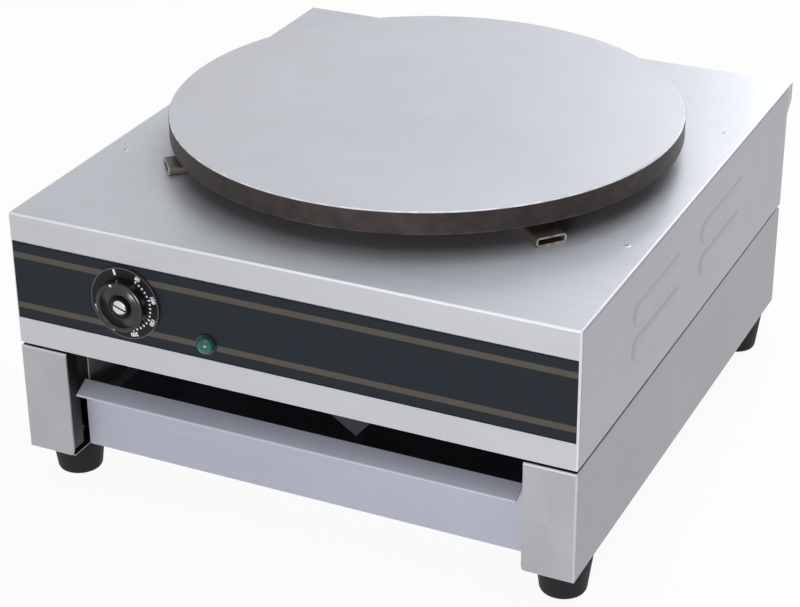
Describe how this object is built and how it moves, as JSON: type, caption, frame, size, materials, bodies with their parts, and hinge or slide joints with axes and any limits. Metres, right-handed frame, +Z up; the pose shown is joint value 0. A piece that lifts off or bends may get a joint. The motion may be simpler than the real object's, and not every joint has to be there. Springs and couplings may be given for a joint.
{
  "type": "electric crepe maker",
  "caption": "Countertop electric crepe maker: round cast-iron griddle on a louvred sheet-metal housing with thermostat dial and lamp, above a base frame with a pull-out tray.",
  "frame": {"origin": "centre of the overall box, at floor level under the feet", "axes": "+Z up; the control panel faces -Y; +X is to the right of someone who stands in front of it"},
  "size_m": [0.4528, 0.5042, 0.261],
  "materials": {
    "top_cover": "fine brushed stainless sheet, grain across the width",
    "side_panel_left": "fine brushed stainless sheet",
    "side_panel_right": "fine brushed stainless sheet",
    "rear_panel": "fine brushed stainless sheet",
    "heat_shield": "mill-finish sheet, darkened by heat",
    "top_rivets": "zinc-plated steel",
    "rear_screws": "zinc-plated steel",
    "cooking_plate": "machined and ground top, seasoned brown-black rim and underside",
    "plate_studs": "zinc-plated steel",
    "plate_nuts": "zinc-plated steel",
    "plate_carrier": "welded flat tube with heat tint",
    "carrier_screws": "zinc-plated steel",
    "carrier_nuts": "zinc-plated steel",
    "element_outer": "matt oxidised heating tube",
    "element_inner": "matt oxidised heating tube",
    "element_straps": "mill-finish sheet",
    "strap_studs": "zinc-plated steel",
    "strap_nuts": "zinc-plated steel",
    "reflector_pan": "mill-finish sheet",
    "insulation_pad": "white ceramic fibre blanket",
    "control_band": "matt slate film with two thin taupe lines",
    "dial": "black disc with white graduation",
    "dial_ring": "thin bright ring",
    "knob": "glossy black moulded plastic",
    "knob_cap": "polished cap",
    "thermostat_shaft": "turned steel",
    "thermostat_body": "cream moulded insulator",
    "thermostat_screws": "zinc-plated steel",
    "capillary_bulb": "drawn copper tube",
    "bulb_clip": "mill-finish sheet",
    "clip_screw": "zinc-plated steel",
    "lamp_bezel": "black plastic",
    "lamp_lens": "translucent green plastic dome",
    "lamp_body": "plain white plastic",
    "lamp_nut": "plain white plastic",
    "base_side_left": "fine brushed stainless sheet",
    "base_side_right": "fine brushed stainless sheet",
    "base_rear": "fine brushed stainless sheet",
    "frame_bolts": "zinc-plated steel",
    "frame_nuts": "zinc-plated steel",
    "seam_spacers": "black fibre washers",
    "tray_rail_left": "folded stainless sheet",
    "tray_rail_right": "folded stainless sheet",
    "tray": "fine brushed stainless sheet",
    "feet": "black moulded rubber",
    "foot_screws": "zinc-plated steel",
    "foot_nuts": "zinc-plated steel",
    "cable_gland": "black nylon",
    "gland_cap": "black nylon",
    "gland_locknut": "black nylon",
    "earth_stud": "turned brass",
    "earth_nut": "turned brass",
    "terminal_block": "cream moulded insulator",
    "block_screws": "zinc-plated steel",
    "wiring": "plain white plastic"
  },
  "bodies": {
    "housing": {"top_cover": "top_cover", "side_panel_left": "side_panel_left", "side_panel_right": "side_panel_right", "rear_panel": "rear_panel", "heat_shield": "heat_shield", "top_rivets": "top_rivets", "rear_screws": "rear_screws", "cooking_plate": "cooking_plate", "plate_studs": "plate_studs", "plate_nuts": "plate_nuts", "plate_carrier": "plate_carrier", "carrier_screws": "carrier_screws", "carrier_nuts": "carrier_nuts", "element_outer": "element_outer", "element_inner": "element_inner", "element_straps": "element_straps", "strap_studs": "strap_studs", "strap_nuts": "strap_nuts", "reflector_pan": "reflector_pan", "insulation_pad": "insulation_pad", "control_band": "control_band", "dial": "dial", "dial_ring": "dial_ring", "thermostat_body": "thermostat_body", "thermostat_screws": "thermostat_screws", "capillary_bulb": "capillary_bulb", "bulb_clip": "bulb_clip", "clip_screw": "clip_screw", "lamp_bezel": "lamp_bezel", "lamp_lens": "lamp_lens", "lamp_body": "lamp_body", "lamp_nut": "lamp_nut", "base_side_left": "base_side_left", "base_side_right": "base_side_right", "base_rear": "base_rear", "frame_bolts": "frame_bolts", "frame_nuts": "frame_nuts", "seam_spacers": "seam_spacers", "tray_rail_left": "tray_rail_left", "tray_rail_right": "tray_rail_right", "feet": "feet", "foot_screws": "foot_screws", "foot_nuts": "foot_nuts", "cable_gland": "cable_gland", "gland_cap": "gland_cap", "gland_locknut": "gland_locknut", "earth_stud": "earth_stud", "earth_nut": "earth_nut", "terminal_block": "terminal_block", "block_screws": "block_screws", "wiring": "wiring"},
    "knob": {"knob": "knob", "knob_cap": "knob_cap", "thermostat_shaft": "thermostat_shaft"},
    "tray": {"tray": "tray"}
  },
  "joints": [
    {"name": "knob_turn", "type": "hinge", "parent": "housing", "child": "knob", "pos_m": [-0.127, -0.2409, 0.176], "axis": [0, 1, 0], "range_deg": [0, 267]},
    {"name": "tray_slide", "type": "slide", "parent": "housing", "child": "tray", "axis": [0, -1, 0], "range_m": [0, 0.275]}
  ]
}
